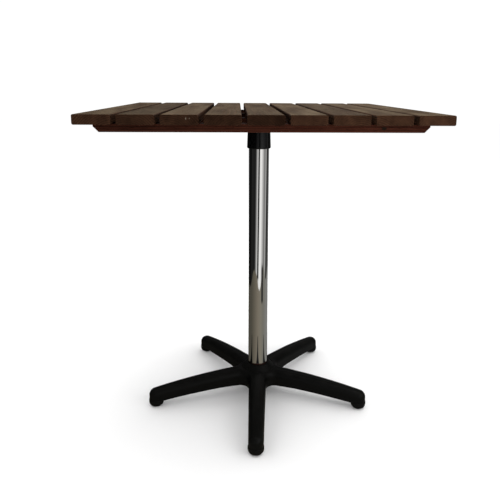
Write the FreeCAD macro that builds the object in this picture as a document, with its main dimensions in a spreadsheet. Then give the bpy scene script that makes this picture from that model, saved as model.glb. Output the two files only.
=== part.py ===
import FreeCAD, Part
import math
import os

import Sketcher
from FreeCAD import Placement, Rotation, Vector

# A square slatted bistro table on a single column with a five-armed base.
# Millimetres. The origin is on the floor under the column, +Z is up, and the
# battens run along X under slats that run along Y.

SIZES = {
    # top
    "top_height": 750, "top_side": 700, "slat_count": 9, "slat_gap": 10,
    "slat_thickness": 19, "slat_round": 3, "slat_end_round": 1,
    "batten_length": 630, "batten_width": 50, "batten_thickness": 15,
    "batten_chamfer": 10.5, "batten_round": 1.5, "batten_spacing": 200, "batten_offset": -4,
    # wood screws through the battens into the slats
    "slat_screw_length": 30, "slat_screw_shank": 4, "slat_screw_head": 8,
    "slat_screw_offset_x": 18, "slat_screw_offset_y": 9,
    "slat_screw_sink": 0.3, "slat_hole_clearance": 0.6,
    "slat_recess_reach": 2.3, "slat_recess_depth": 1.5,
    # spider bracket between the column and the battens
    "spider_plate": 5, "spider_hub_height": 15, "spider_hub_radius": 30,
    "spider_arm_reach": 154, "spider_tip_radius": 14, "spider_root_half_width": 17,
    "spider_rib_width": 6, "spider_rib_depth": 8, "spider_rib_reach": 106,
    "spider_spigot_radius": 23.2, "spider_spigot_length": 24, "spider_spigot_wall": 4,
    "spider_hole": 5.4, "spider_inner_hole": 124, "spider_outer_hole": 156,
    "spider_screw_shank": 5, "spider_screw_head": 9.5, "spider_screw_head_height": 3,
    "spider_screw_length": 15, "spider_recess_reach": 2.6, "spider_recess_depth": 1.7,
    # column, collar and tie rod
    "column_diameter": 50, "column_wall": 1.5, "collar_height": 50,
    "collar_foot_diameter": 58.5, "collar_head_diameter": 55.1,
    "collar_round": 3.5, "collar_clearance": 0.15,
    "rod_diameter": 10, "rod_hole": 10.5, "rod_bottom": 29, "rod_top": 728.5,
    "nut_flats": 17, "nut_height": 8, "nut_bore": 10.1,
    "washer_diameter": 42, "washer_thickness": 2.5,
    # five-armed base
    "arm_count": 5, "star_turn": -2.75, "foot_circle": 271, "tip_radius": 17.5,
    "arm_taper": 1.29, "root_radius": 22, "dome_radius": 1550, "dome_apex": 69.7,
    "arm_bottom": 31, "arm_flat_reach": 110, "tip_bottom": 18.5, "tip_inner": 252,
    "arm_top_round": 15.5,
    "shell_wall": 6, "shell_roof": 9, "core_inner": 50, "core_outer": 238, "core_bays": 3, "rib": 4,
    "hub_top": 81.5, "hub_radius": 30, "hub_skirt_radius": 43, "hub_foot_radius": 36, "hub_bottom": 27.5,
    "socket_floor": 52, "socket_floor_thickness": 10, "socket_diameter": 50.2,
    "hub_recess_radius": 29,
    # levelling feet
    "pad_radius": 18.5, "pad_height": 17.9, "pad_flat_radius": 7, "pad_round": 11.5,
    "pad_lip": 1.2, "stud_diameter": 8, "stud_pitch": 1.25, "stud_thread_depth": 0.7,
    "stud_bottom": 8, "stud_top": 36, "stud_bore": 8.1, "stud_bore_top": 38,
}

doc = FreeCAD.newDocument("bistro_table")
sheet = doc.addObject("Spreadsheet::Sheet", "Sizes")
for row, (alias, number) in enumerate(SIZES.items(), 1):
    sheet.set("A%d" % row, alias)
    sheet.set("B%d" % row, str(number))
    sheet.setAlias("B%d" % row, alias)
doc.recompute()

UP = Vector(0, 0, 1)


def size(alias):
    """The number in the sheet's cell of this alias."""
    return float(sheet.get(alias))


def bind(thing, field, formula):
    """Bind a property, or a sketch's named constraint, to cells: @name is a cell."""
    thing.setExpression(field, formula.replace("@", "Sizes."))


# ---------------------------------------------------------------- sketches

def new_body(name):
    body = doc.addObject("PartDesign::Body", name)
    body.Label = name
    return body


def new_sketch(body, plane, name):
    """A sketch on one of the body's own origin planes."""
    sketch = body.newObject("Sketcher::SketchObject", name)
    for feature in body.Origin.OriginFeatures:
        if feature.Role == plane:
            sketch.AttachmentSupport = [(feature, "")]
    sketch.MapMode = "FlatFace"
    return sketch


def pin(sketch, axis, geometry, end, name, formula):
    """Bind how far a point stands from the sketch's origin along X or Y."""
    point = sketch.getPoint(geometry, end)
    value = point.x if axis == "X" else point.y
    datum(sketch, Sketcher.Constraint("Distance" + axis, -1, 1, geometry, end, value), name, formula)


def datum(sketch, constraint, name, formula):
    """Add a named dimension to a sketch and bind it to the sheet."""
    index = sketch.addConstraint(constraint)
    sketch.renameConstraint(index, name)
    bind(sketch, "Constraints." + name, formula)


def line(start, end):
    return Part.LineSegment(Vector(*start, 0), Vector(*end, 0))


def arc(start, centre, end, clockwise=False):
    """The arc about centre from start to end, anticlockwise unless told."""
    radius = math.hypot(start[0] - centre[0], start[1] - centre[1])
    first = math.atan2(start[1] - centre[1], start[0] - centre[0])
    last = math.atan2(end[1] - centre[1], end[0] - centre[0])
    if clockwise:
        first, last = last, first
    return Part.ArcOfCircle(Part.Circle(Vector(*centre, 0), UP, radius), first, last)


def outline(sketch, pieces):
    """Add a closed loop of lines and arcs and join each end to the next start."""
    first = sketch.GeometryCount
    sketch.addGeometry([geometry for geometry, flipped in pieces], False)
    for step, (geometry, flipped) in enumerate(pieces):
        after = (step + 1) % len(pieces)
        end = 1 if flipped else 2
        start = 2 if pieces[after][1] else 1
        sketch.addConstraint(Sketcher.Constraint("Coincident", first + step, end, first + after, start))
    return first


def polygon(sketch, points):
    """A closed loop of straight lines."""
    ends = points[1:] + points[:1]
    return outline(sketch, [(line(start, end), False) for start, end in zip(points, ends)])


def circle(sketch, centre, radius, name, formula):
    """A circle whose radius is bound to the sheet."""
    index = sketch.addGeometry(Part.Circle(Vector(*centre, 0), UP, radius), False)
    datum(sketch, Sketcher.Constraint("Radius", index, radius), name, formula)
    return index


# ---------------------------------------------------------------- features

def pad(body, sketch, formula, midplane=False):
    feature = body.newObject("PartDesign::Pad", sketch.Name + "_pad")
    feature.Profile = sketch
    feature.SideType = "Symmetric" if midplane else "One side"
    bind(feature, "Length", formula)
    sketch.Visibility = False
    return feature


def cut_all(body, sketch):
    """A pocket right through, both ways from the sketch."""
    feature = body.newObject("PartDesign::Pocket", sketch.Name + "_cut")
    feature.Profile = sketch
    feature.SideType = "Symmetric"
    feature.Length = 2 * size("top_height")
    return feature


def revolve(body, sketch, kind="Revolution"):
    """Turn a sketch about its vertical axis, to add or, as a Groove, to cut."""
    feature = body.newObject("PartDesign::" + kind, sketch.Name + "_turned")
    feature.Profile = sketch
    feature.ReferenceAxis = (sketch, ["V_Axis"])
    feature.Angle = 360
    return feature


def polar(body, originals, formula):
    """Repeat features about the body's own vertical axis."""
    feature = body.newObject("PartDesign::PolarPattern", originals[-1].Name + "_ring")
    feature.Originals = originals
    axis = [item for item in body.Origin.OriginFeatures if item.Role == "Z_Axis"]
    feature.Axis = (axis[0], [""])
    feature.Angle = 360
    bind(feature, "Occurrences", formula)
    body.Tip = feature
    return feature


def edges_where(shape, test):
    """Names of the edges whose middle point and shape pass the test."""
    names = []
    for index, edge in enumerate(shape.Edges, 1):
        middle = edge.valueAt((edge.FirstParameter + edge.LastParameter) / 2)
        if test(middle, edge):
            names.append("Edge%d" % index)
    return names


def dress(body, kind, base, test, field, formula):
    """Fillet or chamfer the edges of a feature that pass the test."""
    doc.recompute()
    feature = body.newObject("PartDesign::" + kind, base.Name + "_" + kind.lower())
    feature.Base = (base, edges_where(base.Shape, test))
    bind(feature, field, formula)
    return feature


def straight_along(edge, direction):
    tangent = edge.tangentAt(edge.FirstParameter)
    return abs(tangent.dot(direction)) > 0.999 and edge.Curve.TypeId == "Part::GeomLine"


# ---------------------------------------------------------------- wooden top

SLAT_WIDTH = "(@top_side - (@slat_count - 1) * @slat_gap) / @slat_count"
SLAT_PITCH = "(@top_side + @slat_gap) / @slat_count"
slat_count = int(size("slat_count"))
slat_pitch = (size("top_side") + size("slat_gap")) / slat_count
slat_width = slat_pitch - size("slat_gap")
slat_bottom = size("top_height") - size("slat_thickness")
batten_bottom = slat_bottom - size("batten_thickness")
BATTENS = {"batten_front": -1.5, "batten_mid_front": -0.5, "batten_mid_rear": 0.5, "batten_rear": 1.5}


def screw_places(row):
    """Where a pair of screws joins the batten in this row to each slat."""
    places = []
    middle = size("batten_offset")
    last = size("batten_length") / 2 - size("batten_chamfer") - size("slat_screw_head")
    for column in range(slat_count):
        for side in (-1, 1):
            along = (column - (slat_count - 1) / 2) * slat_pitch + side * size("slat_screw_offset_x")
            along = max(middle - last, min(middle + last, along))
            across = row * size("batten_spacing") + side * size("slat_screw_offset_y")
            places.append((along, across))
    return places


def make_slat(name, number):
    """One board: a rectangle padded along Y with its long edges well rounded."""
    body = new_body(name)
    section = new_sketch(body, "XZ_Plane", name + "_section")
    half, deep = slat_width / 2, size("slat_thickness")
    first = polygon(section, [(-half, 0), (half, 0), (half, deep), (-half, deep)])
    section.addConstraint(Sketcher.Constraint("Horizontal", first))
    section.addConstraint(Sketcher.Constraint("Vertical", first + 1))
    section.addConstraint(Sketcher.Constraint("Horizontal", first + 2))
    section.addConstraint(Sketcher.Constraint("Vertical", first + 3))
    section.addConstraint(Sketcher.Constraint("Symmetric", first, 1, first, 2, -1, 1))
    datum(section, Sketcher.Constraint("Distance", first, 2 * half), "width", SLAT_WIDTH)
    datum(section, Sketcher.Constraint("Distance", first + 1, deep), "thickness", "@slat_thickness")
    board = pad(body, section, "@top_side", midplane=True)
    eased = dress(body, "Fillet", board, lambda middle, edge: straight_along(edge, Vector(0, 1, 0)),
                  "Radius", "@slat_round")
    end = size("top_side") / 2 - 0.01
    dress(body, "Fillet", eased, lambda middle, edge: abs(middle.y) > end, "Radius", "@slat_end_round")
    bind(body, "Placement.Base.x", "(%d - (@slat_count - 1) / 2) * " % number + SLAT_PITCH)
    bind(body, "Placement.Base.z", "@top_height - @slat_thickness")
    return body


def make_batten(name, row):
    """A flat rail with the lower corners of its ends cut off at 45 degrees."""
    body = new_body(name)
    side = new_sketch(body, "XZ_Plane", name + "_side")
    half, deep, corner = size("batten_length") / 2, size("batten_thickness"), size("batten_chamfer")
    first = polygon(side, [(-half, deep), (-half, corner), (-half + corner, 0),
                           (half - corner, 0), (half, corner), (half, deep)])
    side.addConstraint(Sketcher.Constraint("Vertical", first))
    side.addConstraint(Sketcher.Constraint("Symmetric", first, 1, first + 4, 2, -2))
    side.addConstraint(Sketcher.Constraint("Symmetric", first, 2, first + 4, 1, -2))
    side.addConstraint(Sketcher.Constraint("Symmetric", first + 2, 1, first + 2, 2, -2))
    side.addConstraint(Sketcher.Constraint("PointOnObject", first + 2, 1, -1))
    datum(side, Sketcher.Constraint("Distance", first + 5, 2 * half), "length", "@batten_length")
    datum(side, Sketcher.Constraint("Distance", first, deep - corner), "upright",
          "@batten_thickness - @batten_chamfer")
    datum(side, Sketcher.Constraint("DistanceY", -1, 1, first, 1, deep), "thickness", "@batten_thickness")
    datum(side, Sketcher.Constraint("Distance", first + 2, 2 * (half - corner)), "sole",
          "@batten_length - 2 * @batten_chamfer")
    rail = pad(body, side, "@batten_width", midplane=True)
    face = size("batten_width") / 2 - 0.01
    eased = dress(body, "Fillet", rail, lambda middle, edge: abs(middle.y) > face and middle.z < deep - 0.01,
                  "Radius", "@batten_round")
    doc.recompute()
    drill_batten(body, row)
    bind(body, "Placement.Base.x", "@batten_offset")
    bind(body, "Placement.Base.y", "%g * @batten_spacing" % row)
    bind(body, "Placement.Base.z", "@top_height - @slat_thickness - @batten_thickness")
    return body


def drill_batten(body, row):
    """Countersunk clearance holes for the slat screws, from below."""
    places = new_sketch(body, "XY_Plane", body.Name + "_screws")
    middle = (size("batten_offset"), row * size("batten_spacing"))
    bore = "(@slat_screw_shank + @slat_hole_clearance) / 2"
    radius = (size("slat_screw_shank") + size("slat_hole_clearance")) / 2
    for number, (along, across) in enumerate(screw_places(row)):
        circle(places, (along - middle[0], across - middle[1]), radius, "bore_%d" % number, bore)
    doc.recompute()
    holes = body.newObject("PartDesign::Hole", body.Name + "_holes")
    holes.Profile = places
    holes.Reversed = True
    holes.DepthType = "ThroughAll"
    holes.HoleCutType = "Countersink"
    holes.HoleCutCustomValues = True
    holes.HoleCutCountersinkAngle = 90
    bind(holes, "Diameter", "@slat_screw_shank + @slat_hole_clearance")
    bind(holes, "HoleCutDiameter", "@slat_screw_head + @slat_hole_clearance + 2 * @slat_screw_sink")


# ---------------------------------------------------------------- turned parts

def turned_body(name, points):
    """A body turned about its Z axis from a closed outline of straight lines."""
    body = new_body(name)
    profile = new_sketch(body, "XZ_Plane", name + "_profile")
    polygon(profile, points)
    revolve(body, profile)
    return body, profile


def cross_recess(body, kind):
    """A cross-shaped driver recess pressed into the underside of a screw head."""
    reach = size(kind + "_recess_reach")
    half_width = reach / 4
    plus = new_sketch(body, "XY_Plane", body.Name + "_cross")
    points = []
    for quarter in range(4):
        turn = Rotation(UP, 90 * quarter)
        for corner in ((reach, -half_width), (reach, half_width), (half_width, half_width)):
            spot = turn.multVec(Vector(*corner, 0))
            points.append((spot.x, spot.y))
    polygon(plus, points)
    recess = body.newObject("PartDesign::Pocket", body.Name + "_recess")
    recess.Profile = plus
    recess.Reversed = True
    bind(recess, "Length", "@" + kind + "_recess_depth")
    return recess


def make_slat_screw():
    """A countersunk wood screw, point up, with the head's face at its origin."""
    head, shank = size("slat_screw_head") / 2, size("slat_screw_shank") / 2
    long = size("slat_screw_length")
    body, profile = turned_body("slat_screw", [
        (0, 0), (head, 0), (shank, head - shank), (shank, long - 2 * shank), (0, long)])
    pin(profile, "X", 0, 2, "head_radius", "@slat_screw_head / 2")
    pin(profile, "X", 2, 1, "shank_radius", "@slat_screw_shank / 2")
    pin(profile, "Y", 3, 2, "tip", "@slat_screw_length")
    cross_recess(body, "slat")
    return body


def make_spider_screw():
    """A pan-headed wood screw, point up, seated with the head's face at its origin."""
    head, shank = size("spider_screw_head") / 2, size("spider_screw_shank") / 2
    deep, long = size("spider_screw_head_height"), size("spider_screw_length")
    body = new_body("spider_screw")
    profile = new_sketch(body, "XZ_Plane", "spider_screw_profile")
    crown = (head * head + deep * deep) / (2 * deep)
    flat = head * 0.6
    sag = crown - math.sqrt(crown * crown - flat * flat)
    top = deep + sag - crown + math.sqrt(crown * crown - head * head)
    outline(profile, [
        (line((0, 0), (flat, 0)), False),
        (arc((flat, 0), (0, crown - sag), (head, top)), False),
        (line((head, top), (head, deep)), False),
        (line((head, deep), (shank, deep)), False),
        (line((shank, deep), (shank, deep + long - 2 * shank)), False),
        (line((shank, deep + long - 2 * shank), (0, deep + long)), False),
        (line((0, deep + long), (0, 0)), False)])
    pin(profile, "X", 4, 1, "shank_radius", "@spider_screw_shank / 2")
    revolve(body, profile)
    cross_recess(body, "spider")
    return body


def make_group(name, master, places):
    """Copies of one fastener, each its own solid, in one named sub-part."""
    doc.recompute()
    group = doc.addObject("Part::Feature", name)
    group.Label = name
    group.Shape = Part.makeCompound([master.Shape.translated(Vector(*place)) for place in places])
    return group


def make_column():
    """The plain tube, from the floor of the base's socket to the spider's hub."""
    body = new_body("column_tube")
    ring = new_sketch(body, "XY_Plane", "column_ring")
    radius = size("column_diameter") / 2
    circle(ring, (0, 0), radius, "outside", "@column_diameter / 2")
    circle(ring, (0, 0), radius - size("column_wall"), "inside", "@column_diameter / 2 - @column_wall")
    pad(body, ring, "@top_height - @slat_thickness - @batten_thickness - @spider_hub_height - @socket_floor")
    bind(body, "Placement.Base.z", "@socket_floor")
    return body


def make_collar():
    """The tapered sleeve round the head of the column, wider at its rounded foot."""
    body = new_body("column_collar")
    profile = new_sketch(body, "XZ_Plane", "collar_profile")
    bore = size("column_diameter") / 2 + size("collar_clearance")
    foot, head = size("collar_foot_diameter") / 2, size("collar_head_diameter") / 2
    tall, bend = size("collar_height"), size("collar_round")
    outline(profile, [
        (line((bore, 0), (foot - bend, 0)), False),
        (arc((foot - bend, 0), (foot - bend, bend), (foot, bend)), False),
        (line((foot, bend), (head, tall)), False),
        (line((head, tall), (bore, tall)), False),
        (line((bore, tall), (bore, 0)), False)])
    pin(profile, "X", 4, 2, "bore", "@column_diameter / 2 + @collar_clearance")
    pin(profile, "X", 3, 1, "head_radius", "@collar_head_diameter / 2")
    pin(profile, "Y", 3, 1, "height", "@collar_height")
    datum(profile, Sketcher.Constraint("Radius", 1, bend), "foot_round", "@collar_round")
    revolve(body, profile)
    bind(body, "Placement.Base.z",
         "@top_height - @slat_thickness - @batten_thickness - @spider_hub_height - @collar_height")
    return body


def make_tie_rod():
    """The rod that draws the base, the column and the spider together."""
    radius, low, high = size("rod_diameter") / 2, size("rod_bottom"), size("rod_top")
    body, profile = turned_body("tie_rod", [
        (0, low), (radius - 1, low), (radius, low + 1), (radius, high - 1), (radius - 1, high), (0, high)])
    pin(profile, "X", 3, 1, "radius", "@rod_diameter / 2")
    pin(profile, "Y", 5, 1, "top", "@rod_top")
    pin(profile, "Y", 0, 1, "bottom", "@rod_bottom")
    return body


def make_nut(name, base_height):
    """A hexagon nut with its bore eased at both ends, standing on its lower face."""
    body = new_body(name)
    section = new_sketch(body, "XY_Plane", name + "_hexagon")
    corner = size("nut_flats") / math.sqrt(3)
    polygon(section, [(corner * math.cos(math.radians(60 * step)), corner * math.sin(math.radians(60 * step)))
                      for step in range(6)])
    circle(section, (0, 0), size("nut_bore") / 2, "bore", "@nut_bore / 2")
    block = pad(body, section, "@nut_height")
    dress(body, "Chamfer", block, lambda middle, edge: edge.Closed, "Size", "@nut_bore / 15")
    bind(body, "Placement.Base.z", base_height)
    return body


def make_washer():
    body = new_body("tie_rod_washer")
    ring = new_sketch(body, "XY_Plane", "washer_ring")
    circle(ring, (0, 0), size("washer_diameter") / 2, "outside", "@washer_diameter / 2")
    circle(ring, (0, 0), size("rod_hole") / 2, "inside", "@rod_hole / 2")
    pad(body, ring, "@washer_thickness")
    bind(body, "Placement.Base.z", "@socket_floor - @socket_floor_thickness - @washer_thickness")
    return body


# ---------------------------------------------------------------- spider bracket

def make_spider():
    """A cast cross of four ribbed arms with a hub above and a spigot in the column."""
    body = new_body("top_spider")
    under, plate = -size("spider_hub_height"), size("spider_plate")
    reach, tip, root = size("spider_arm_reach"), size("spider_tip_radius"), size("spider_root_half_width")
    hub, bore = size("spider_hub_radius"), size("rod_hole") / 2
    spigot = size("spider_spigot_radius")

    core = new_sketch(body, "XZ_Plane", "spider_hub")
    polygon(core, [(0, 0), (0, under - size("spider_spigot_length")), (spigot, under - size("spider_spigot_length")),
                   (spigot, under), (hub, under), (hub, 0)])
    pin(core, "X", 4, 2, "hub_radius", "@spider_hub_radius")
    revolve(body, core)

    arm = new_sketch(body, "XY_Plane", "spider_arm")
    outline(arm, [
        (line((0, -root), (reach, -tip)), False),
        (arc((reach, -tip), (reach, 0), (reach, tip)), False),
        (line((reach, tip), (0, root)), False),
        (line((0, root), (0, -root)), False)])
    datum(arm, Sketcher.Constraint("Radius", 1, tip), "tip_radius", "@spider_tip_radius")
    arm_plate = pad(body, arm, "@spider_plate")
    arm_plate.Reversed = True

    web = new_sketch(body, "XZ_Plane", "spider_rib")
    web_top = -plate / 2
    polygon(web, [(0, web_top), (0, -plate - size("spider_rib_depth")), (hub, -plate - size("spider_rib_depth")),
                  (size("spider_rib_reach"), -plate), (size("spider_rib_reach"), web_top)])
    rib = pad(body, web, "@spider_rib_width", midplane=True)

    holes = new_sketch(body, "XY_Plane", "spider_holes")
    for name in ("spider_inner_hole", "spider_outer_hole"):
        circle(holes, (size(name), 0), size("spider_hole") / 2, name, "@spider_hole / 2")
    drilled = cut_all(body, holes)
    polar(body, [arm_plate, rib, drilled], "4")

    hollow = new_sketch(body, "XZ_Plane", "spider_bore")
    inside = spigot - size("spider_spigot_wall")
    polygon(hollow, [(0, 1), (0, under - size("spider_spigot_length") - 1),
                     (inside, under - size("spider_spigot_length") - 1), (inside, under), (bore, under), (bore, 1)])
    body.Tip = revolve(body, hollow, "Groove")
    dress(body, "Fillet", body.Tip, lambda middle, edge: abs(middle.z + plate) < 0.01
          and math.hypot(middle.x, middle.y) > reach and edge.Curve.TypeId == "Part::GeomCircle"
          and edge.Curve.Radius > size("spider_hole"), "Radius", "@spider_plate / 5")
    bind(body, "Placement.Base.z", "@top_height - @slat_thickness - @batten_thickness")
    body.Placement.Rotation = Rotation(UP, 45)
    return body


def spider_screw_places():
    """Two pan-headed screws near the end of each spider arm, heads under the plate."""
    seat = batten_bottom - size("spider_plate") - size("spider_screw_head_height")
    places = []
    for quarter in range(4):
        turn = Rotation(UP, 45 + 90 * quarter)
        for name in ("spider_inner_hole", "spider_outer_hole"):
            places.append(tuple(turn.multVec(Vector(size(name), 0, seat))))
    return places


# ---------------------------------------------------------------- base

HALF_STEP = 180 / size("arm_count")


def spot(radius, degrees):
    return (radius * math.cos(math.radians(degrees)), radius * math.sin(math.radians(degrees)))


def beside(centre, radius, degrees):
    """The point at this bearing and distance from a centre."""
    step = spot(radius, degrees)
    return (centre[0] + step[0], centre[1] + step[1])


def star_blank(name, inset, low, high):
    """The plan of the five arms, inset from the outer outline, as a block from low to high.

    Each arm tapers from its root to a round tip, and a round root joins it to the next.
    """
    body = new_body(name)
    sketch = new_sketch(body, "XY_Plane", name + "_outline")
    circle_radius = size("foot_circle")
    tip, root = size("tip_radius") - inset, size("root_radius") + inset
    side = 90 - size("arm_taper")
    lean = side - HALF_STEP
    root_circle = (circle_radius * math.cos(math.radians(side)) + tip + root) / math.cos(math.radians(lean))
    pieces = []
    for number in range(int(size("arm_count"))):
        bearing = HALF_STEP * (2 * number - 1)
        gap, following = bearing + HALF_STEP, bearing + 2 * HALF_STEP
        tip_centre, root_centre = spot(circle_radius, bearing), spot(root_circle, gap)
        tip_end = beside(tip_centre, tip, bearing + side)
        root_start = beside(root_centre, root, gap + 180 + lean)
        root_end = beside(root_centre, root, gap + 180 - lean)
        pieces += [
            (arc(beside(tip_centre, tip, bearing - side), tip_centre, tip_end), False),
            (line(tip_end, root_start), False),
            (arc(root_start, root_centre, root_end, clockwise=True), True),
            (line(root_end, beside(spot(circle_radius, following), tip, following - side)), False)]
    outline(sketch, pieces)
    for first in range(0, len(pieces), 4):
        datum(sketch, Sketcher.Constraint("Radius", first, tip), "tip_%d" % first, "@tip_radius - %g" % inset)
        datum(sketch, Sketcher.Constraint("Radius", first + 2, root), "root_%d" % first,
              "@root_radius + %g" % inset)
    pad(body, sketch, high + " - (" + low + ")")
    bind(body, "Placement.Base.z", low)
    return body


def ball(name, radius, centre_height):
    """A sphere turned so that its seam is far below the part of it in use."""
    sphere = doc.addObject("Part::Sphere", name)
    bind(sphere, "Radius", radius)
    sphere.Placement.Rotation = Rotation(Vector(0, 1, 0), 90) * Rotation(Vector(1, 0, 0), 90)
    bind(sphere, "Placement.Base.z", centre_height)
    return sphere


def boolean(kind, name, base, tool):
    result = doc.addObject("Part::" + kind, name)
    result.Base = base
    result.Tool = tool
    return result


def round_edges(name, base, test, radius):
    """Fillet the edges of a boolean's shape that pass the test."""
    doc.recompute()
    rounded = doc.addObject("Part::Fillet", name)
    rounded.Base = base
    rounded.Edges = [(int(edge[4:]), radius, radius) for edge in edges_where(base.Shape, test)]
    return rounded


def dome_height(radius, roof=0):
    """Height of the base's domed top, or of a surface a roof's thickness inside it."""
    sphere = size("dome_radius")
    return size("dome_apex") - sphere + math.sqrt((sphere - roof) ** 2 - radius * radius)


def make_star_shell():
    """The arms' outside: the star's plan under a shallow dome, its upper edges well rounded."""
    blank = star_blank("star_blank", 0, "@tip_bottom", "@hub_top")
    dome = ball("dome", "@dome_radius", "@dome_apex - @dome_radius")
    domed = boolean("Common", "star_domed", blank, dome)
    centre = Vector(0, 0, size("dome_apex") - size("dome_radius"))
    return round_edges("star_rounded", domed,
                       lambda middle, edge: abs((middle - centre).Length - size("dome_radius")) < 0.01,
                       size("arm_top_round"))


def make_under_cut():
    """The space under the arms: level near the hub, then curving down to the tips."""
    flat, bottom, inner, low = size("arm_flat_reach"), size("arm_bottom"), size("tip_inner"), size("tip_bottom")
    centre = (bottom ** 2 + flat ** 2 - low ** 2 - inner ** 2) / (2 * (bottom - low))
    curve = ball("under_curve", "%.6f" % math.hypot(flat, bottom - centre), "%.6f" % centre)
    slab = doc.addObject("Part::Cylinder", "under_slab")
    bind(slab, "Radius", "@foot_circle + 2 * @tip_radius")
    bind(slab, "Height", "@arm_bottom")
    return boolean("Common", "under_cut", curve, slab)


def make_hub():
    """The raised ring that the column stands in, with a bevelled skirt."""
    skirt, boss, top = size("hub_skirt_radius"), size("hub_radius"), size("hub_top")
    foot, low = size("hub_foot_radius"), size("hub_bottom")
    body, profile = turned_body("star_hub", [
        (0, low), (foot, low), (foot, low + 15), (skirt, low + 25),
        (skirt, top - skirt + boss), (boss, top), (0, top)])
    pin(profile, "X", 5, 1, "boss", "@hub_radius")
    pin(profile, "Y", 5, 1, "top", "@hub_top")
    dress(body, "Fillet", body.Tip, lambda middle, edge: edge.Closed and abs(middle.z - top) < 0.01,
          "Radius", "@hub_radius / 12")
    return body


def make_socket():
    """What is bored out of the hub: the column's well, the rod's hole and the nut's recess."""
    floor, under = size("socket_floor"), size("socket_floor") - size("socket_floor_thickness")
    bore, well, recess = size("rod_hole") / 2, size("socket_diameter") / 2, size("hub_recess_radius")
    high = size("hub_top") + 10
    body, profile = turned_body("star_socket", [
        (0, 0), (recess, 0), (recess, under), (bore, under), (bore, floor), (well, floor), (well, high), (0, high)])
    pin(profile, "X", 5, 2, "well", "@socket_diameter / 2")
    pin(profile, "Y", 5, 1, "floor", "@socket_floor")
    return body


def make_stud_bores():
    """Five blind bores, one in each arm's tip, for the feet's studs."""
    body = new_body("stud_bores")
    bores = new_sketch(body, "XY_Plane", "stud_bore")
    circle(bores, spot(size("foot_circle"), HALF_STEP), size("stud_bore") / 2, "bore", "@stud_bore / 2")
    polar(body, [pad(body, bores, "@stud_bore_top")], "@arm_count")
    return body


def make_bays():
    """The hollow inside the arms: bays open below, left apart by cross ribs."""
    body = new_body("star_bays")
    bays = new_sketch(body, "XZ_Plane", "bay_rings")
    inner, outer, rib = size("core_inner"), size("core_outer"), size("rib")
    count = int(size("core_bays"))
    step = (outer - inner + rib) / count
    centre = (0, size("dome_apex") - size("dome_radius"))
    roof = size("shell_roof")
    for bay in range(count):
        near = inner + bay * step
        far = near + step - rib
        outline(bays, [
            (line((near, 0), (far, 0)), False),
            (line((far, 0), (far, dome_height(far, roof))), False),
            (arc((far, dome_height(far, roof)), centre, (near, dome_height(near, roof))), False),
            (line((near, dome_height(near, roof)), (near, 0)), False)])
    revolve(body, bays)
    return boolean("Common", "bay_cores", body, star_blank("core_blank", size("shell_wall"), "0", "@hub_top"))


def make_base():
    """The finished casting: arms and hub in one, less everything bored or hollowed."""
    arms = boolean("Cut", "star_arms", make_star_shell(), make_under_cut())
    solid = boolean("Fuse", "star_solid", arms, make_hub())
    hollows = doc.addObject("Part::MultiFuse", "star_hollows")
    hollows.Shapes = [make_socket(), make_stud_bores(), make_bays()]
    base = boolean("Cut", "base_star", solid, hollows)
    base.Placement = Placement(Vector(), Rotation(UP, size("star_turn") - 90 + HALF_STEP))
    return base


# ---------------------------------------------------------------- levelling feet

def make_foot_pad(name):
    """A round glide with a domed edge, a flat sole and a blind bore for its stud."""
    body = new_body(name)
    profile = new_sketch(body, "XZ_Plane", name + "_profile")
    wide, tall, lip = size("pad_radius"), size("pad_height"), size("pad_lip")
    flat, bend = size("pad_flat_radius"), size("pad_round")
    stud, seat = size("stud_diameter") / 2, size("stud_bottom")
    outline(profile, [
        (line((0, 0), (flat, 0)), False),
        (arc((flat, 0), (flat, bend), (flat + bend, bend)), False),
        (line((flat + bend, bend), (wide, tall - lip)), False),
        (arc((wide, tall - lip), (wide - lip, tall - lip), (wide - lip, tall)), False),
        (line((wide - lip, tall), (stud, tall)), False),
        (line((stud, tall), (stud, seat)), False),
        (line((stud, seat), (0, seat)), False),
        (line((0, seat), (0, 0)), False)])
    datum(profile, Sketcher.Constraint("Radius", 1, bend), "sole_round", "@pad_round")
    pin(profile, "Y", 4, 1, "height", "@pad_height")
    revolve(body, profile)
    return body


def make_foot_stud(name):
    """The threaded stud, its thread drawn as rings above the part held in the pad."""
    body = new_body(name)
    profile = new_sketch(body, "XZ_Plane", name + "_profile")
    radius, low, high = size("stud_diameter") / 2, size("stud_bottom"), size("stud_top")
    pitch, deep = size("stud_pitch"), size("stud_thread_depth")
    start = size("pad_height") + 0.6
    turns = int((high - 1 - start) / pitch)
    points = [(0, low), (radius, low), (radius, start)]
    for turn in range(turns):
        root = start + (turn + 0.5) * pitch
        points += [(radius - deep, root), (radius, root + 0.5 * pitch)]
    points += [(radius - deep, high), (0, high)]
    polygon(profile, points)
    pin(profile, "X", 1, 1, "radius", "@stud_diameter / 2")
    revolve(body, profile)
    return body


def place_foot(body, number):
    """Stand a foot's piece on its bolt circle, the first one at the front."""
    bearing = "(@star_turn - 90 + %d * 360 / @arm_count)" % number
    bind(body, "Placement.Base.x", "@foot_circle * cos(" + bearing + ")")
    bind(body, "Placement.Base.y", "@foot_circle * sin(" + bearing + ")")


# ---------------------------------------------------------------- assembly

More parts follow.
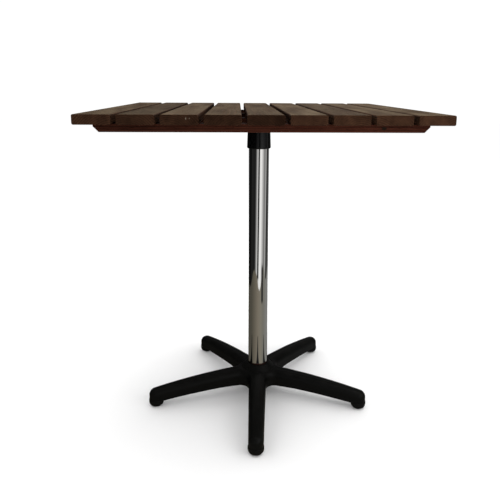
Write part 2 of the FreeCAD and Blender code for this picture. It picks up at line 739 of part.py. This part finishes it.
parts = [make_slat("slat_%d" % (number + 1), number) for number in range(slat_count)]
parts += [make_batten(name, row) for name, row in BATTENS.items()]
slat_screw_seat = batten_bottom + size("slat_screw_sink")
parts.append(make_group("slat_screws", make_slat_screw(),
                        [(along, across, slat_screw_seat) for row in BATTENS.values()
                         for along, across in screw_places(row)]))
parts.append(make_spider())
parts.append(make_group("spider_screws", make_spider_screw(), spider_screw_places()))
parts += [make_column(), make_collar(), make_tie_rod(), make_washer(), make_base()]
parts.append(make_nut("tie_rod_top_nut", "@top_height - @slat_thickness - @batten_thickness"))
parts.append(make_nut("tie_rod_bottom_nut",
                      "@socket_floor - @socket_floor_thickness - @washer_thickness - @nut_height"))
for number in range(int(size("arm_count"))):
    for make, name in ((make_foot_pad, "foot_pad_%d"), (make_foot_stud, "foot_stud_%d")):
        piece = make(name % (number + 1))
        place_foot(piece, number)
        parts.append(piece)
doc.recompute()

for item in doc.Objects:
    if "Invalid" in item.State or "Error" in item.State:
        raise RuntimeError("%s did not compute: %s" % (item.Label, item.State))
for item in parts:
    if item.Shape.isNull() or not item.Shape.isValid():
        raise RuntimeError("%s has no valid shape" % item.Label)

os.makedirs("parts", exist_ok=True)
for item in parts:
    item.Shape.exportStep("parts/%s.step" % item.Label)
    print("%-20s %3d solid(s) %12.1f mm3" % (item.Label, len(item.Shape.Solids), item.Shape.Volume))
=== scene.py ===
import math

import bpy
from mathutils import Matrix, Vector


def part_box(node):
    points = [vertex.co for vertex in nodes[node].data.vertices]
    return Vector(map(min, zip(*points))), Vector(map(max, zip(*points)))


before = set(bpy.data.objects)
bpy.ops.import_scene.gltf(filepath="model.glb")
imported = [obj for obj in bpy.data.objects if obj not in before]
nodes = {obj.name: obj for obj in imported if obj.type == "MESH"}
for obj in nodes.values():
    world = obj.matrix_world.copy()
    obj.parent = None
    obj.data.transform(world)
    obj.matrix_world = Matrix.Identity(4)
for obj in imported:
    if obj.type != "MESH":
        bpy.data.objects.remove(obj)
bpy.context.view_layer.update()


# ---------------------------------------------------------------- shader helpers

class Shader:
    """A new material whose nodes are made with short calls that return output sockets."""

    def __init__(self, name):
        self.material = bpy.data.materials.new(name)
        self.material.use_nodes = True
        self.tree = self.material.node_tree
        self.tree.nodes.clear()
        self.surface = self.node("BsdfPrincipled")
        out = self.node("OutputMaterial")
        self.tree.links.new(self.surface.outputs[0], out.inputs["Surface"])
        self.here = self.node("TexCoord").outputs["Object"]
        self.facing = self.node("NewGeometry").outputs["Normal"]

    def node(self, kind, values=None, **settings):
        made = self.tree.nodes.new("ShaderNode" + kind)
        for key, value in settings.items():
            setattr(made, key, value)
        for key, value in (values or {}).items():
            self.put(made.inputs[key], value)
        return made

    def put(self, socket, value):
        if isinstance(value, bpy.types.NodeSocket):
            self.tree.links.new(value, socket)
        else:
            socket.default_value = value

    def set(self, **values):
        """Set the surface's own sockets; an underscore in a key stands for a space."""
        for key, value in values.items():
            self.put(self.surface.inputs[key.replace("_", " ")], value)

    def math(self, kind, *values):
        return self.node("Math", dict(enumerate(values)), operation=kind).outputs[0]

    def vector(self, kind, *values):
        made = self.node("VectorMath", dict(enumerate(values)), operation=kind)
        return made.outputs["Value" if kind == "LENGTH" else "Vector"]

    def split(self, vector):
        return self.node("SeparateXYZ", {0: vector}).outputs

    def mapping(self, vector, scale, location=(0, 0, 0)):
        return self.node("Mapping", {"Vector": vector, "Scale": scale, "Location": location}).outputs[0]

    def noise(self, vector, scale, detail=3.0, roughness=0.5, colour=False):
        made = self.node("TexNoise", {"Vector": vector, "Scale": scale, "Detail": detail,
                                      "Roughness": roughness})
        return made.outputs[1 if colour else 0]

    def ramp(self, value, *stops, smooth=False):
        """A colour ramp from (position, colour) stops; a colour may be one grey number."""
        made = self.node("ValToRGB", {0: value})
        made.color_ramp.interpolation = "EASE" if smooth else "LINEAR"
        elements = made.color_ramp.elements
        while len(elements) < len(stops):
            elements.new(0.5)
        for element, (position, colour) in zip(elements, stops):
            element.position = position
            element.color = (*colour, 1) if isinstance(colour, tuple) else (colour, colour, colour, 1)
        return made.outputs[0]

    def range(self, value, low, high, to_low=0.0, to_high=1.0):
        """Map a value's span to another, smoothly and held at its ends."""
        return self.node("MapRange", {"Value": value, "From Min": low, "From Max": high, "To Min": to_low,
                                      "To Max": to_high}, interpolation_type="SMOOTHSTEP").outputs[0]

    def mix(self, factor, first, second, blend="MIX"):
        made = self.node("Mix", data_type="RGBA", blend_type=blend)
        self.put(made.inputs[0], factor)
        for socket, value in ((made.inputs[6], first), (made.inputs[7], second)):
            self.put(socket, (*value, 1) if isinstance(value, tuple) else value)
        return made.outputs[2]

    def bump(self, height, strength, distance):
        return self.node("Bump", {"Height": height, "Strength": strength, "Distance": distance}).outputs[0]


def paint(name, shader):
    """Give a CAD node this material in every slot it has."""
    mesh = nodes[name].data
    for index in range(len(mesh.materials)):
        mesh.materials[index] = shader.material


# ---------------------------------------------------------------- wood

# A board's tone changes along it from its one end's to its other's within this distance of the middle.
TONE_REACH = 0.3


def wood(name, along, heart, light, mid, dark, top_painted_light, seed, end_tone=1.0, top_light_tone=1.0, blemishes=(),
         tones_along=(1.0, 1.0)):
    """Solid oiled hardwood, its grain along one axis, cut from a trunk whose heart lies at this place.

    The same field colours every face, so the lines on a board's top run into the rings on its end.
    The tones multiply the colour of the end grain, of the painted light on top, and of the board's two ends.
    """
    shader = Shader(name)
    across = [0.0 if axis == along else 1.0 for axis in (0, 1, 2)]

    def stretched(fine, long):
        """Coordinates with fine units across the grain and long ones along it, moved on by the seed."""
        scale = [long if axis == along else fine for axis in (0, 1, 2)]
        return shader.mapping(shader.here, scale, location=(seed * 3.17, seed * 1.71, seed * 2.39))

    wander = shader.noise(stretched(9, 1.6), 1, 3, colour=True)
    wander = shader.vector("SUBTRACT", wander, (0.5, 0.5, 0.5))
    drift = shader.vector("MULTIPLY", wander, (0.022, 0.022, 0.022))
    bent = shader.vector("ADD", shader.here, drift)
    from_heart = shader.vector("MULTIPLY", shader.vector("SUBTRACT", bent, heart), across)
    rings = shader.math("MULTIPLY", shader.vector("LENGTH", from_heart), 260.0)
    ring = shader.ramp(shader.math("FRACT", rings), (0.0, 0.15), (0.55, 0.4), (0.86, 1.0), (1.0, 0.15),
                       smooth=True)

    fibre = shader.noise(stretched(420, 9), 1, 4, 0.65)
    streak = shader.noise(stretched(60, 2.2), 1, 3, 0.6)
    patch = shader.noise(stretched(7, 2.5), 1, 2, 0.5)
    pores = shader.ramp(shader.noise(stretched(1500, 70), 1, 2, 0.5), (0.34, 1.0), (0.43, 0.0))

    depth = shader.math("ADD", shader.math("MULTIPLY", ring, 0.34), shader.math("MULTIPLY", streak, 0.55))
    depth = shader.math("ADD", depth, shader.math("MULTIPLY", fibre, 0.35))
    colour = shader.ramp(depth, (0.38, light), (0.62, mid), (0.86, dark))
    colour = shader.mix(shader.range(patch, 0.35, 0.7, 0.0, 0.55), colour, dark)
    colour = shader.mix(shader.math("MULTIPLY", pores, 0.55), colour, tuple(0.35 * part for part in dark))

    facing = shader.split(shader.facing)
    # Top faces take a colour in noise patches: on the slats a painted sheen, partly dust; on the battens a
    # painted shade.
    upward = shader.range(facing[2], 0.55, 0.95)
    dust = shader.range(shader.noise(stretched(26, 5), 1, 4, 0.6), 0.3, 0.75, 0.25, 0.8)
    top_light_toned = tuple(top_light_tone * part for part in top_painted_light)
    colour = shader.mix(shader.math("MULTIPLY", upward, dust), colour, top_light_toned)
    end = shader.range(shader.math("ABSOLUTE", facing[along]), 0.6, 0.95)
    colour = shader.mix(end, colour, shader.mix(1.0, colour, (end_tone, end_tone, end_tone), "MULTIPLY"))
    # Rounded edges lighter in patches: partly wear, partly a painted highlight along the edges.
    corner = shader.math("MULTIPLY", shader.math("ABSOLUTE", facing[0 if along == 1 else 1]),
                         shader.math("ABSOLUTE", facing[2]))
    wear_and_edge_highlight = shader.math("MULTIPLY", shader.range(corner, 0.2, 0.48),
                       shader.range(shader.noise(stretched(120, 14), 1, 4, 0.7), 0.45, 0.62))
    colour = shader.mix(shader.math("MULTIPLY", wear_and_edge_highlight, 0.5), colour, light)
    for place, size, tone in blemishes:
        away = shader.vector("DIVIDE", shader.vector("SUBTRACT", bent, place), size)
        colour = shader.mix(shader.range(shader.vector("LENGTH", away), 0.6, 1.0, 1.0, 0.0), colour, tone)
    shade = shader.range(shader.split(shader.here)[along], -TONE_REACH, TONE_REACH, *tones_along)
    shader.set(Base_Color=shader.mix(1.0, colour, shade, "MULTIPLY"))

    shine = shader.math("ADD", shader.range(fibre, 0.3, 0.7, 0.40, 0.52), shader.math("MULTIPLY", pores, 0.2))
    shader.set(Roughness=shine, Specular_IOR_Level=0.06, Specular_Tint=(1.0, 0.5, 0.32, 1))
    relief = shader.math("SUBTRACT", shader.math("MULTIPLY", fibre, 0.6), pores)
    shader.set(Normal=shader.bump(relief, 0.35, 0.0004))
    return shader


# Colours of the wood from its lightest to its darkest grain, and the colour painted on its top faces: on the
# slats a painted sheen, partly dust; on the battens a painted shade.
SLAT_LIGHT, SLAT_MID = (0.070, 0.033, 0.018), (0.036, 0.0166, 0.0092)
SLAT_DARK, SLAT_DUST_AND_SHEEN = (0.014, 0.0066, 0.0038), (0.124, 0.092, 0.056)
# Each slat's own tone, from left to right, on its end grain, and how strong the painted sheen is on its top.
END_TONES = (1.0, 0.8, 0.56, 0.47, 0.54, 1.08, 1.0, 0.92, 1.2)
TOP_SHEEN_TONES = (1.10, 0.78, 1.20, 1.08, 1.02, 1.32, 0.92, 1.25, 1.25)
BATTEN_LIGHT, BATTEN_MID = (0.064, 0.019, 0.011), (0.037, 0.0102, 0.0060)
BATTEN_DARK, BATTEN_TOP_SHADE = (0.015, 0.0045, 0.0030), (0.011, 0.007, 0.005)
# Each batten's tone at its left and right ends: the front batten is darker at the left and lighter at the
# right, and the hidden battens are darkened all along as painted shade under the slats.
FRONT_BATTEN_TONES, HIDDEN_BATTEN_SHADE = (0.68, 1.35), (0.45, 0.45)

# Chips and knots: where each lies as parts of its board's box, its half sizes in metres, and its colour.
CHIP, KNOT = (0.14, 0.12, 0.092), (0.010, 0.007, 0.005)
BLEMISHES = {"slat_3": (((0.645, 0.0, 0.72), (0.0010, 0.003, 0.0027), CHIP),
                        ((0.735, 0.0, 0.74), (0.0007, 0.003, 0.0017), CHIP)),
             "slat_5": (((0.55, 0.63, 1.0), (0.0130, 0.008, 0.0040), KNOT),),
             "slat_7": (((0.30, 0.35, 1.0), (0.0070, 0.011, 0.0040), KNOT),),
             "batten_front": (((0.856, 0.0, 0.35), (0.0065, 0.006, 0.0040), KNOT),)}


def blemishes_on(name):
    """This board's blemishes, with each place in metres."""
    low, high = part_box(name)
    return [([base + part * (top - base) for base, top, part in zip(low, high, place)], size, tone)
            for place, size, tone in BLEMISHES.get(name, ())]


slat_names = sorted(name for name in nodes if name.startswith("slat_") and name != "slat_screws")
for number, name in enumerate(slat_names):
    low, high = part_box(name)
    middle = (low + high) / 2
    lean = 0.05 * math.sin(2.4 * number + 1)
    heart = (middle.x + lean, 0.0, middle.z - 0.05 - 0.02 * math.cos(1.7 * number))
    paint(name, wood(name + "_wood", 1, heart, SLAT_LIGHT, SLAT_MID, SLAT_DARK, SLAT_DUST_AND_SHEEN, number + 1,
                     END_TONES[number], TOP_SHEEN_TONES[number], blemishes_on(name)))
for number, name in enumerate(("batten_front", "batten_mid_front", "batten_mid_rear", "batten_rear")):
    low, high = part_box(name)
    middle = (low + high) / 2
    heart = (0.0, middle.y + 0.03 * math.cos(2.1 * number), middle.z - 0.07)
    # The hidden battens are darker all along: painted shade under the slats.
    tones = FRONT_BATTEN_TONES if name == "batten_front" else HIDDEN_BATTEN_SHADE
    paint(name, wood(name + "_wood", 0, heart, BATTEN_LIGHT, BATTEN_MID, BATTEN_DARK, BATTEN_TOP_SHADE,
                     number + 21, blemishes=blemishes_on(name), tones_along=tones))


# ---------------------------------------------------------------- metal and plastic

def chrome(hub_top):
    """Polished plate with faint wiping marks, and a painted shadow, a dark reddish rough band, where the tube
    stands in the hub.
    """
    shader = Shader("column_chrome")
    smear = shader.noise(shader.mapping(shader.here, (60, 60, 9)), 1, 4, 0.6)
    # Painted shadow: a dark reddish, rougher band at the tube's foot, just above the hub's top.
    ragged = shader.math("MULTIPLY_ADD", smear, 0.008, shader.split(shader.here)[2])
    painted_foot_shadow = shader.range(ragged, hub_top + 0.007, hub_top + 0.010, 1.0, 0.0)
    polish = shader.range(smear, 0.35, 0.75, 0.03, 0.08)
    shader.set(Base_Color=shader.mix(painted_foot_shadow, (0.80, 0.79, 0.77), (0.10, 0.045, 0.038)), Metallic=1.0)
    shader.set(Roughness=shader.math("MULTIPLY_ADD", painted_foot_shadow, 0.4, polish))
    return shader


def coated(name, colour, dull, grain, dusty, gloss):
    """Black powder coat or moulded plastic: a fine orange-peel skin with a little dust on top."""
    shader = Shader(name)
    skin = shader.noise(shader.here, grain, 2, 0.5)
    patch = shader.noise(shader.here, 22, 4, 0.6)
    upward = shader.range(shader.split(shader.facing)[2], 0.2, 1.0)
    dust = shader.math("MULTIPLY", upward, shader.range(patch, 0.35, 0.75, 0.0, dusty))
    shader.set(Base_Color=shader.mix(dust, colour, (0.09, 0.085, 0.078)))
    shader.set(Roughness=shader.range(patch, 0.3, 0.7, dull - 0.05, dull + 0.08), Specular_IOR_Level=gloss)
    shader.set(Normal=shader.bump(skin, 0.12, 0.0003))
    return shader


def plated(name):
    """Zinc-plated steel: cloudy, slightly yellow and scuffed."""
    shader = Shader(name)
    cloud = shader.noise(shader.here, 160, 4, 0.6)
    scuff = shader.noise(shader.here, 1400, 2, 0.6)
    zinc = shader.ramp(cloud, (0.3, (0.42, 0.40, 0.34)), (0.7, (0.62, 0.61, 0.58)))
    shader.set(Base_Color=zinc, Metallic=1.0)
    shader.set(Roughness=shader.range(cloud, 0.3, 0.7, 0.28, 0.46), Normal=shader.bump(scuff, 0.08, 0.0002))
    return shader


paint("column_tube", chrome(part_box("base_star")[1].z))
paint("base_star", coated("base_paint", (0.0034, 0.0034, 0.0030), 0.36, 900, 0.03, 0.08))
paint("column_collar", coated("collar_plastic", (0.0012, 0.0012, 0.0012), 0.18, 1400, 0.02, 0.26))
paint("top_spider", coated("spider_paint", (0.006, 0.006, 0.006), 0.42, 700, 0.08, 0.2))
glide = coated("glide_plastic", (0.0035, 0.0035, 0.0030), 0.45, 1200, 0.05, 0.12)
steel = plated("plated_steel")
for name in nodes:
    if name.startswith("foot_pad"):
        paint(name, glide)
    if name.startswith(("foot_stud", "tie_rod")) or name.endswith("screws"):
        paint(name, steel)


# ---------------------------------------------------------------- studio

def stage_mesh(name, points, faces, shader):
    mesh = bpy.data.meshes.new(name)
    mesh.from_pydata(points, [], faces)
    mesh.materials.append(shader.material)
    made = bpy.data.objects.new(name, mesh)
    bpy.context.scene.collection.objects.link(made)
    return made


def glow(name, colour, strength):
    shader = Shader(name)
    shader.set(Base_Color=(0, 0, 0, 1), Specular_IOR_Level=0.0)
    shader.set(Emission_Color=(*colour, 1), Emission_Strength=strength)
    return shader


def only_reflected(made):
    """Show a card to reflections alone, so that it neither lights nor hides anything."""
    made.visible_camera = False
    made.visible_diffuse = False
    made.visible_shadow = False
    made.visible_transmission = False
    return made


FLOOR_SIDE = 12.0
floor_shader = Shader("floor")
floor_shader.set(Base_Color=(0.97, 0.97, 0.97, 1), Roughness=0.9, Specular_IOR_Level=0.0)
stage_mesh("floor", [(x * FLOOR_SIDE, y * FLOOR_SIDE, 0) for x, y in ((-1, -1), (1, -1), (1, 1), (-1, 1))],
           [(0, 1, 2, 3)], floor_shader)

# What the polished column mirrors: a round room of light and dark strips over a brown-grey floor.
# Bearings are in degrees anticlockwise from the front, seen from above. Climb is the height up the wall
# in metres, and below zero it runs on over the floor, at FLOOR_CLIMB for each metre in from the wall.
ROOM_RADIUS, ROOM_HEIGHT = 1.0, 3.2
FLOOR_CLIMB = 0.4
# How bright the wall is at each bearing. The strips lean by STRIP_LEAN degrees for each metre of height,
# and stand at their own bearings at the height LEAN_LEVEL.
STRIPS = ((-180, 0.10), (-133, 0.012), (-118, 0.005), (-97, 0.005), (-86, 0.018), (-61, 0.016), (-46, 0.013),
          (-38, 0.03), (-31, 0.14), (-26, 0.34), (-20, 0.44), (-14, 0.74), (-7, 0.84), (8, 0.84), (20, 1.0),
          (28, 0.95), (34, 0.78), (43, 0.58), (51, 0.42), (60, 0.26), (68, 0.20), (75, 0.30), (80, 0.42),
          (91, 0.40), (94, 0.02), (112, 0.02), (120, 0.08), (143, 0.14), (180, 0.10))
STRIP_LEAN, LEAN_LEVEL = 20.0, 0.3
# The climb at which the wall gives way to the floor, and the floor's colour, at each bearing.
WALL_FOOT = ((-180, -0.05), (-148, -0.05), (-118, -0.08), (-97, -0.07), (-80, -0.045), (-65, 0.0),
             (-51, 0.01), (-37, 0.005), (-24, -0.01), (-12, -0.02), (-2, -0.075), (14, -0.088), (26, -0.07),
             (39, -0.02), (53, 0.0), (68, 0.03), (84, -0.03), (102, -0.043), (127, 0.015), (180, 0.02))
FLOOR_TINT = ((-180, (0.060, 0.055, 0.045)), (-133, (0.075, 0.070, 0.058)), (-80, (0.090, 0.083, 0.065)),
              (-45, (0.140, 0.125, 0.098)), (0, (0.220, 0.195, 0.155)), (30, (0.230, 0.215, 0.175)),
              (60, (0.195, 0.190, 0.165)), (100, (0.235, 0.235, 0.225)), (180, (0.26, 0.26, 0.26)))
# Dark posts in the room: bearing, half width in degrees, and the climb of foot and head.
POSTS = ((-2, 7.5, -0.035, 3.3), (52, 10, -0.14, 0.03))
POST_COLOUR = (0.03, 0.03, 0.03)
# Half the climb over which the wall's foot and a post's ends blur, and the degrees over which its sides do.
FOOT_BLUR, POST_END_BLUR, POST_SIDE_BLUR = 0.006, 0.01, 2
# A ramp holds no value below zero, so the climbs in it are lifted by this.
RAMP_LIFT = 0.2


def by_bearing(shader, turn, stops):
    """A value or colour looked up by a bearing in degrees."""
    return shader.ramp(shader.math("MULTIPLY_ADD", turn, 1 / 360, 0.5),
                       *((0.5 + bearing / 360, value) for bearing, value in stops))


def room_glow(name):
    """Glowing wall and floor colours that meet at the wall's own ragged foot, with dark posts before them."""
    shader = Shader(name)
    east, north, height = shader.split(shader.here)
    turn = shader.math("ARCTAN2", east, shader.math("MULTIPLY", north, -1.0))
    turn = shader.math("MULTIPLY", turn, math.degrees(1))
    upright = shader.math("ADD", turn, STRIP_LEAN * LEAN_LEVEL)
    leaning = shader.math("MULTIPLY_ADD", height, -STRIP_LEAN, upright)
    reach = shader.vector("LENGTH", shader.vector("MULTIPLY", shader.here, (1, 1, 0)))
    climb = shader.math("MULTIPLY_ADD", shader.math("SUBTRACT", reach, ROOM_RADIUS), FLOOR_CLIMB, height)
    foot = by_bearing(shader, turn, [(bearing, level + RAMP_LIFT) for bearing, level in WALL_FOOT])
    rise = shader.math("SUBTRACT", shader.math("ADD", climb, RAMP_LIFT), foot)
    colour = shader.mix(shader.range(rise, -FOOT_BLUR, FOOT_BLUR), by_bearing(shader, turn, FLOOR_TINT),
                        by_bearing(shader, leaning, STRIPS))
    for bearing, half_width, low, high in POSTS:
        aside = shader.math("ABSOLUTE", shader.math("SUBTRACT", leaning, float(bearing)))
        within = shader.range(aside, half_width, half_width + POST_SIDE_BLUR, 1.0, 0.0)
        over_low = shader.range(climb, low - POST_END_BLUR, low + POST_END_BLUR)
        under_high = shader.range(climb, high - POST_END_BLUR, high + POST_END_BLUR, 1.0, 0.0)
        post = shader.math("MULTIPLY", shader.math("MULTIPLY", within, over_low), under_high)
        colour = shader.mix(post, colour, POST_COLOUR)
    shader.set(Base_Color=(0, 0, 0, 1), Specular_IOR_Level=0.0)
    shader.set(Emission_Color=colour, Emission_Strength=1.0)
    return shader


RING_CORNERS = 72


def ring(radius, height, middle=(0.0, 0.0)):
    """Corners of a round card or of one rim of the wall."""
    turns = [math.tau * step / RING_CORNERS for step in range(RING_CORNERS)]
    return [(radius * math.cos(turn) + middle[0], radius * math.sin(turn) + middle[1], height)
            for turn in turns]


DISC = [tuple(range(RING_CORNERS))]
LAMP_RADIUS, LAMP_MIDDLE, LAMP_DROP = 0.45, (0.25, 0.3), 0.1
# The floor card reaches a little past the wall and lies just over the floor, so that no seam shows.
FLOOR_OVERLAP, FLOOR_LIFT = 0.01, 0.0006

glowing = room_glow("room_glow")
rims = ring(ROOM_RADIUS, 0.0) + ring(ROOM_RADIUS, ROOM_HEIGHT)
sides = [(step, (step + 1) % RING_CORNERS, (step + 1) % RING_CORNERS + RING_CORNERS, step + RING_CORNERS)
         for step in range(RING_CORNERS)]
lid_glow = glow("lid_glow", (1, 1, 1), 0.12)
lamp_glow = glow("lamp_glow", (1.0, 0.98, 0.95), 1.6)
only_reflected(stage_mesh("room_wall", rims, sides, glowing))
only_reflected(stage_mesh("room_floor", ring(ROOM_RADIUS + FLOOR_OVERLAP, FLOOR_LIFT), DISC, glowing))
only_reflected(stage_mesh("room_lid", ring(ROOM_RADIUS, ROOM_HEIGHT), DISC, lid_glow))
only_reflected(stage_mesh("room_lamp", ring(LAMP_RADIUS, ROOM_HEIGHT - LAMP_DROP, LAMP_MIDDLE), DISC,
                          lamp_glow))

world = bpy.data.worlds.new("studio")
bpy.context.scene.world = world
world.use_nodes = True
sky = world.node_tree.nodes["Background"]
sky.inputs["Color"].default_value = (1, 1, 1, 1)
sky.inputs["Strength"].default_value = 1.04


def softbox(name, place, aim, side, power):
    light = bpy.data.lights.new(name, "AREA")
    light.shape = "SQUARE"
    light.size = side
    light.energy = power
    lamp = bpy.data.objects.new(name, light)
    lamp.location = place
    lamp.rotation_euler = (Vector(aim) - Vector(place)).to_track_quat("-Z", "Y").to_euler()
    bpy.context.scene.collection.objects.link(lamp)


softbox("overhead", (0.3, 0.2, 2.8), (0, 0, 0.6), 2.2, 45)
softbox("right_fill", (2.4, -1.6, 1.5), (0.1, 0, 0.6), 1.4, 14)


# ---------------------------------------------------------------- camera

CAMERA_AT = Vector((-0.0513, -1.3622, 0.8016))
YAW, PITCH, ROLL = math.radians(2.23), math.radians(12.26), math.radians(0.352)
LENS, SENSOR_WIDTH = 39.878, 36
SHIFT_X, SHIFT_Y = -0.01856, -0.08806

camera = bpy.data.cameras.new("camera")
camera.lens = LENS
camera.sensor_width = SENSOR_WIDTH
camera.shift_x, camera.shift_y = SHIFT_X, SHIFT_Y
camera_object = bpy.data.objects.new("camera", camera)
forward = Vector((math.sin(YAW) * math.cos(PITCH), math.cos(YAW) * math.cos(PITCH), -math.sin(PITCH)))
level = Vector((math.cos(YAW), -math.sin(YAW), 0))
up = level.cross(forward)
right = math.cos(ROLL) * level + math.sin(ROLL) * up
above = math.cos(ROLL) * up - math.sin(ROLL) * level
turn = Matrix((right, above, -forward)).transposed().to_4x4()
camera_object.matrix_world = Matrix.Translation(CAMERA_AT) @ turn
bpy.context.scene.collection.objects.link(camera_object)
bpy.context.scene.camera = camera_object
bpy.context.scene.view_settings.view_transform = "Standard"
